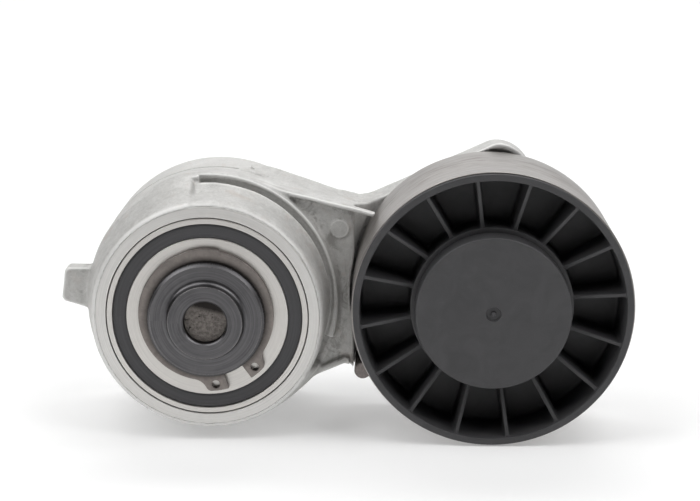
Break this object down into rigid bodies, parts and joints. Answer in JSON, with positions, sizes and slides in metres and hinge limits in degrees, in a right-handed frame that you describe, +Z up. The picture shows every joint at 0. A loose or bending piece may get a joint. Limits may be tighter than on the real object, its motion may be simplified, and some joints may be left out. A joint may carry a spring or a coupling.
{
  "type": "belt tensioner idler",
  "caption": "Spring-loaded belt tensioner: a cast arm swings on a sealed pivot bearing over a fixed base and carries a ribbed plastic idler pulley with a steel tread.",
  "frame": {"origin": "centre of the footprint, on the surface that the base and the pulley stand on", "axes": "+Z up; the pivot and pulley axes run along Y with the shaft nose and the pulley's cap facing -Y; the pulley is on the +X side"},
  "size_m": [0.195, 0.0658, 0.0969],
  "materials": {
    "cast_aluminium": "as-cast, satin, with machined faces",
    "dark_steel": "dark, fine turned",
    "bearing_steel": "ground, satin",
    "clip_steel": "phosphated spring steel",
    "tread_steel": "satin, brushed round the rim",
    "plug_steel": "rough, lightly oxidised",
    "seal_rubber": "matt, fine concentric texture",
    "black_plastic": "moulded, semi-matt",
    "pale_polymer": "moulded, natural colour"
  },
  "bodies": {
    "base": {"mounting_base": "cast_aluminium", "pivot_shaft": "dark_steel", "shaft_bore_plug": "plug_steel", "bearing_circlip": "clip_steel", "thrust_washer": "pale_polymer", "friction_ring": "pale_polymer", "spring_sleeve": "black_plastic", "torsion_spring": "dark_steel", "shaft_screw": "dark_steel", "shaft_screw_washer": "clip_steel", "pivot_bearing_inner_ring": "bearing_steel"},
    "arm": {"tensioner_arm": "cast_aluminium", "pivot_bush": "pale_polymer", "stop_pin": "clip_steel", "pivot_bearing_outer_ring": "bearing_steel", "pivot_bearing_front_seal": "seal_rubber", "pivot_bearing_rear_seal": "seal_rubber", "pulley_bolt": "dark_steel", "pulley_spacer": "clip_steel", "pulley_bearing_inner_ring": "bearing_steel"},
    "pulley": {"pulley_wheel": "black_plastic", "pulley_tread": "tread_steel", "dust_cap": "black_plastic", "pulley_bearing_outer_ring": "bearing_steel", "pulley_bearing_front_seal": "seal_rubber", "pulley_bearing_rear_seal": "seal_rubber"},
    "pivot_cage": {"pivot_bearing_cage": "pale_polymer", "pivot_bearing_ball_1": "bearing_steel", "pivot_bearing_ball_2": "bearing_steel", "pivot_bearing_ball_3": "bearing_steel", "pivot_bearing_ball_4": "bearing_steel", "pivot_bearing_ball_5": "bearing_steel", "pivot_bearing_ball_6": "bearing_steel", "pivot_bearing_ball_7": "bearing_steel", "pivot_bearing_ball_8": "bearing_steel", "pivot_bearing_ball_9": "bearing_steel", "pivot_bearing_ball_10": "bearing_steel"},
    "pulley_cage": {"pulley_bearing_cage": "pale_polymer", "pulley_bearing_ball_1": "bearing_steel", "pulley_bearing_ball_2": "bearing_steel", "pulley_bearing_ball_3": "bearing_steel", "pulley_bearing_ball_4": "bearing_steel", "pulley_bearing_ball_5": "bearing_steel", "pulley_bearing_ball_6": "bearing_steel", "pulley_bearing_ball_7": "bearing_steel", "pulley_bearing_ball_8": "bearing_steel"}
  },
  "joints": [
    {"name": "arm_swing", "type": "hinge", "parent": "base", "child": "arm", "pos_m": [-0.0453, 0, 0.044], "axis": [0, -1, 0], "range_deg": [0, 50], "stiffness_Nm_per_rad": 20, "springref_deg": -68.75},
    {"name": "pulley_spin", "type": "hinge", "parent": "arm", "child": "pulley", "pos_m": [0.0503, 0, 0.0472], "axis": [0, -1, 0], "continuous": true},
    {"name": "pivot_cage_turn", "type": "hinge", "parent": "base", "child": "pivot_cage", "pos_m": [-0.0453, 0, 0.044], "axis": [0, -1, 0], "range_deg": [0, 28]},
    {"name": "pulley_cage_turn", "type": "hinge", "parent": "arm", "child": "pulley_cage", "pos_m": [0.0503, 0, 0.0472], "axis": [0, -1, 0], "continuous": true}
  ],
  "couplings": [
    {"joint": "pivot_cage_turn", "follows": "arm_swing", "ratio": 0.552},
    {"joint": "pulley_cage_turn", "follows": "pulley_spin", "ratio": 0.618}
  ]
}
